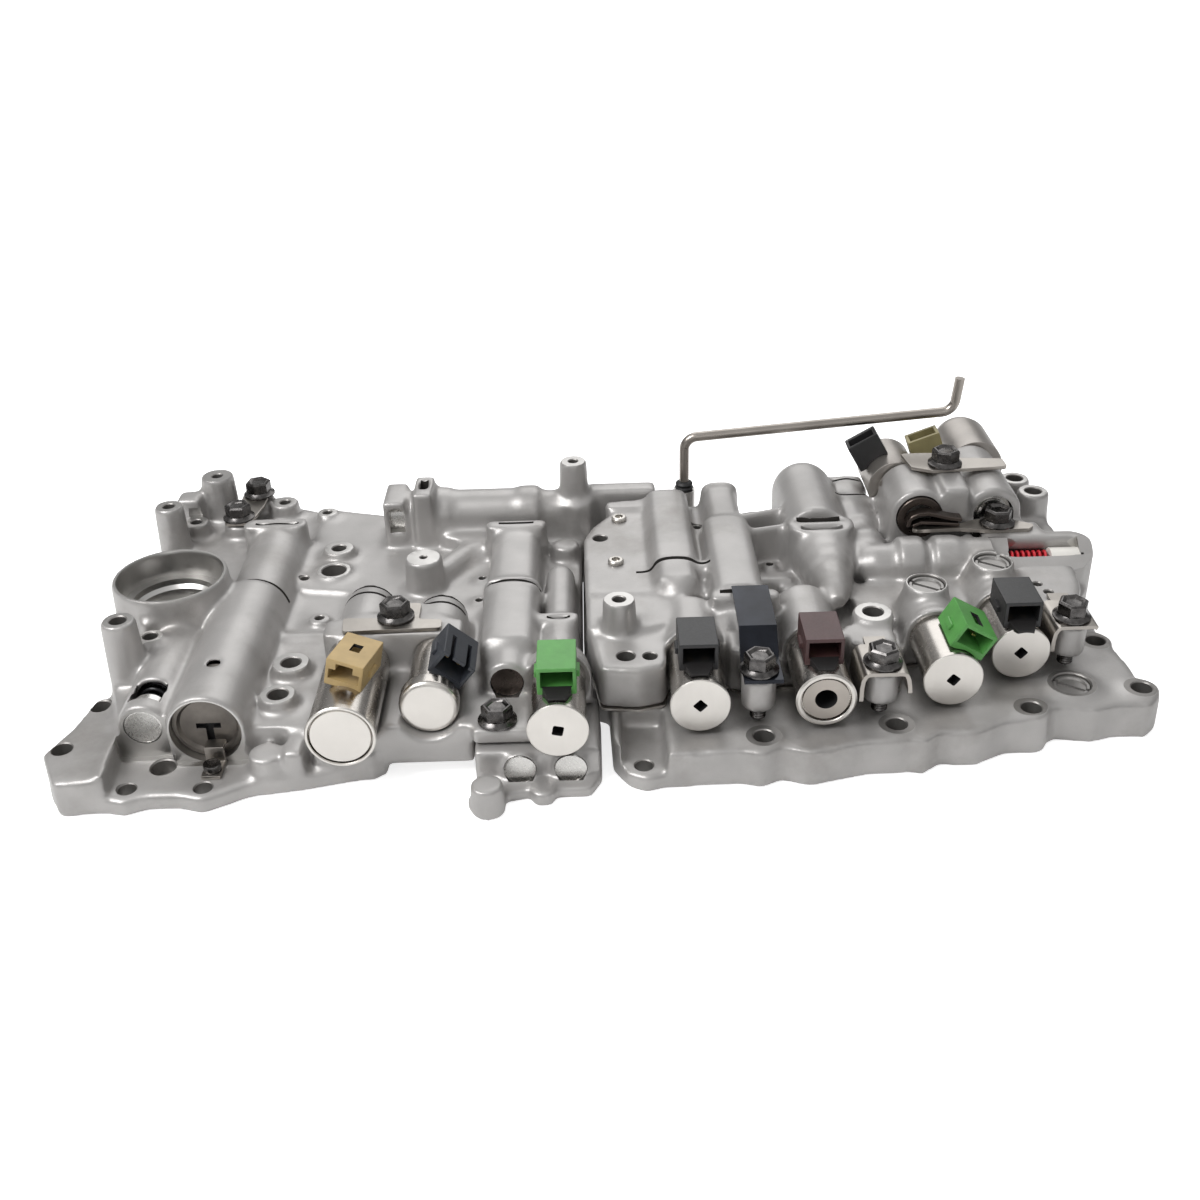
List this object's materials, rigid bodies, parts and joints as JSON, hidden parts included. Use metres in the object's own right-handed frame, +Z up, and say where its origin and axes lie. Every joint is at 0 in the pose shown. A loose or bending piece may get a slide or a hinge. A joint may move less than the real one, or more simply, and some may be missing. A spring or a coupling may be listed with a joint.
{
  "type": "transmission valve body",
  "caption": "Cast hydraulic valve body of an automatic gearbox with plug-in solenoids, clamps, bores, a strainer port and a bent link rod on the manual valve.",
  "frame": {"origin": "on the flat underside, under the middle of the assembly, at the mount underside", "axes": "+X along the long side towards the manual lever's end, +Y away from the solenoid faces, +Z up from the underside"},
  "size_m": [0.4097, 0.2216, 0.0877],
  "materials": {
    "casting_left": "cast, bead-blasted",
    "casting_base": "cast",
    "casting_right": "cast",
    "sheet_steel": "pressed sheet",
    "blued_steel": "blued spring steel",
    "dark_steel": "phosphated and oiled",
    "bright_steel": "ground",
    "can_steel": "drawn and plated",
    "light_alloy": "turned",
    "grey_alloy": "turned",
    "black_spring": "black wire",
    "red_spring": "painted red wire",
    "white_plastic": "moulded",
    "rod_steel": "drawn bar",
    "black_plastic": "moulded",
    "tan_plastic": "moulded",
    "slate_plastic": "moulded",
    "green_plastic": "moulded",
    "maroon_plastic": "moulded",
    "olive_plastic": "moulded"
  },
  "bodies": {
    "valve_body": {"accumulator_clip": "sheet_steel", "accumulator_spring": "bright_steel", "base_casting": "casting_base", "bore_keys": "sheet_steel", "centre_plug": "dark_steel", "clamp_strap_middle": "sheet_steel", "clamp_strap_right": "sheet_steel", "clip_screw": "dark_steel", "damper_plug": "bright_steel", "damper_spring": "black_spring", "flange_bolts": "dark_steel", "flange_screws": "bright_steel", "harness_clip": "blued_steel", "left_casting": "casting_left", "left_retainer_plate": "sheet_steel", "lever_plate": "sheet_steel", "lever_retainer": "dark_steel", "pressure_plug": "bright_steel", "rear_clamp_plate": "sheet_steel", "rear_plug": "bright_steel", "relay_spring": "red_spring", "relay_stop": "bright_steel", "right_casting": "casting_right", "separator_sheet": "sheet_steel", "slotted_plugs": "casting_right", "solenoid_a_can": "can_steel", "solenoid_a_connector": "tan_plastic", "solenoid_b_can": "can_steel", "solenoid_b_connector": "slate_plastic", "solenoid_c_can": "can_steel", "solenoid_c_connector": "green_plastic", "solenoid_d_can": "can_steel", "solenoid_d_connector": "black_plastic", "solenoid_e_can": "can_steel", "solenoid_e_connector": "maroon_plastic", "solenoid_f_can": "can_steel", "solenoid_f_connector": "green_plastic", "solenoid_g_can": "can_steel", "solenoid_g_connector": "black_plastic", "solenoid_h_can": "can_steel", "solenoid_h_connector": "black_plastic", "solenoid_i_can": "can_steel", "solenoid_i_connector": "olive_plastic", "tab_bracket": "dark_steel", "under_casting": "casting_base", "under_plugs": "bright_steel"},
    "manual_valve": {"manual_valve": "light_alloy"},
    "link_rod": {"link_rod": "rod_steel", "rod_grommet": "black_plastic"},
    "accumulator_piston": {"accumulator_piston": "grey_alloy"},
    "damper_piston": {"damper_piston": "light_alloy"},
    "relay_spool": {"relay_spool": "white_plastic"}
  },
  "joints": [
    {"name": "manual_valve_slide", "type": "slide", "parent": "valve_body", "child": "manual_valve", "axis": [0, 1, 0], "range_m": [-0.0015, 0.014]},
    {"name": "link_swivel", "type": "hinge", "parent": "manual_valve", "child": "link_rod", "pos_m": [0.036, 0.1045, 0.04], "axis": [0, 0, 1], "range_deg": [-20, 15]},
    {"name": "accumulator_slide", "type": "slide", "parent": "valve_body", "child": "accumulator_piston", "axis": [0, 1, 0], "range_m": [0, 0.012], "stiffness_N_per_m": 400, "springref_m": -0.005, "deforming": ["accumulator_spring"]},
    {"name": "damper_slide", "type": "slide", "parent": "valve_body", "child": "damper_piston", "axis": [0, 1, 0], "range_m": [0, 0.006], "stiffness_N_per_m": 150, "springref_m": -0.003, "deforming": ["damper_spring"]},
    {"name": "relay_slide", "type": "slide", "parent": "valve_body", "child": "relay_spool", "axis": [-1, 0, 0], "range_m": [0, 0.005], "stiffness_N_per_m": 60, "springref_m": -0.002, "deforming": ["relay_spring"]}
  ]
}
